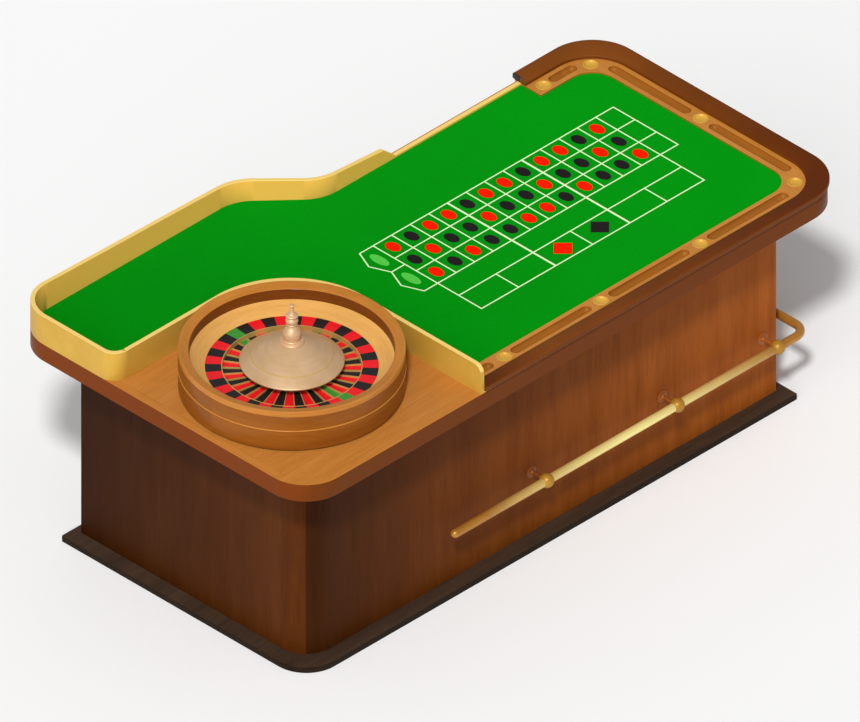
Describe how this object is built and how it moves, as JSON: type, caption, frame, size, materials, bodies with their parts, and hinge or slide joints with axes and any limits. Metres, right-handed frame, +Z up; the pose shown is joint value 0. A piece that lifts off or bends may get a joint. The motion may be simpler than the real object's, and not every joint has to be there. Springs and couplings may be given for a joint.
{
  "type": "roulette table",
  "caption": "Casino roulette table with a wheel on a fenced deck, felt layout, chip rail with brass cups, padded armrest, cabinet base and brass foot rail.",
  "frame": {"origin": "on the floor, under the middle of the outline of the table top with its armrest", "axes": "+X from the wheel end to the far end of the layout, +Y from the players' side to the dealer's side, +Z up"},
  "size_m": [2.74, 1.497, 1.285],
  "materials": {
    "plinth_wood": "satin",
    "cabinet_wood": "satin",
    "board": "matt",
    "apron_wood": "satin",
    "deck_wood": "satin",
    "felt": "matt",
    "fence_brass": "satin",
    "cup_brass": "satin",
    "armrest_leather": "satin",
    "end_cap_black": "satin",
    "rail_brass": "polished",
    "steel": "satin",
    "door_brass": "satin",
    "bowl_wood": "gloss",
    "rim_wood": "gloss",
    "track_wood": "gloss",
    "bowl_trim": "gloss",
    "pocket_red": "gloss",
    "pocket_black": "gloss",
    "pocket_green": "gloss",
    "fret_brass": "satin",
    "cone_bronze": "satin",
    "turret_bronze": "polished"
  },
  "bodies": {
    "table": {"plinth_board": "plinth_wood", "player_side_panel": "cabinet_wood", "wheel_end_panel": "cabinet_wood", "corner_panel": "cabinet_wood", "far_end_panel": "cabinet_wood", "rear_panel_wheel_end": "cabinet_wood", "rear_return_panel": "cabinet_wood", "rear_panel_layout_end": "cabinet_wood", "inner_bulkhead": "board", "top_board": "board", "playing_board": "board", "armrest_base_boards": "board", "bowl_base_board": "board", "apron_player_side": "apron_wood", "apron_far_end": "apron_wood", "apron_dealer_side": "apron_wood", "apron_wheel_end": "apron_wood", "wheel_deck_board": "deck_wood", "chip_rail_player_side": "deck_wood", "chip_rail_far_end": "deck_wood", "chip_rail_dealer_side": "deck_wood", "felt_cloth": "felt", "fence_wheel_end": "fence_brass", "fence_deck_side": "fence_brass", "fence_deck_corner": "fence_brass", "fence_dealer_side": "fence_brass", "fence_dealer_bend": "fence_brass", "fence_low_rail": "fence_brass", "rail_cups": "cup_brass", "armrest_player_side": "armrest_leather", "armrest_far_end": "armrest_leather", "armrest_dealer_side": "armrest_leather", "armrest_end_cap": "end_cap_black", "foot_rail_tube": "rail_brass", "foot_rail_end_caps": "rail_brass", "foot_rail_brackets": "rail_brass", "foot_rail_screws": "rail_brass", "cabinet_screws": "steel", "spindle": "steel", "bowl_feet": "steel", "door_catch": "steel", "door_hinge_leaves": "door_brass", "door_hinge_pins": "door_brass", "bowl_shell": "bowl_wood", "bowl_rim": "rim_wood", "ball_track": "track_wood", "bowl_bead": "bowl_trim"},
    "wheel_rotor": {"rotor_plate": "board", "rotor_ring": "board", "number_ring_red": "pocket_red", "number_ring_black": "pocket_black", "number_ring_green": "pocket_green", "pocket_frets": "fret_brass", "rotor_cone": "cone_bronze", "turret_stem": "turret_bronze", "turret_finial": "turret_bronze", "spindle_bearings": "steel"},
    "access_door": {"access_door": "cabinet_wood", "door_hinge_straps": "door_brass", "door_knob": "door_brass"}
  },
  "joints": [
    {"name": "rotor_spin", "type": "hinge", "parent": "table", "child": "wheel_rotor", "pos_m": [-0.926, -0.2218, 1], "axis": [0, 0, 1], "continuous": true},
    {"name": "door_swing", "type": "hinge", "parent": "table", "child": "access_door", "pos_m": [0.15, 0.3765, 0.426], "axis": [0, 0, 1], "range_deg": [0, 110]}
  ]
}
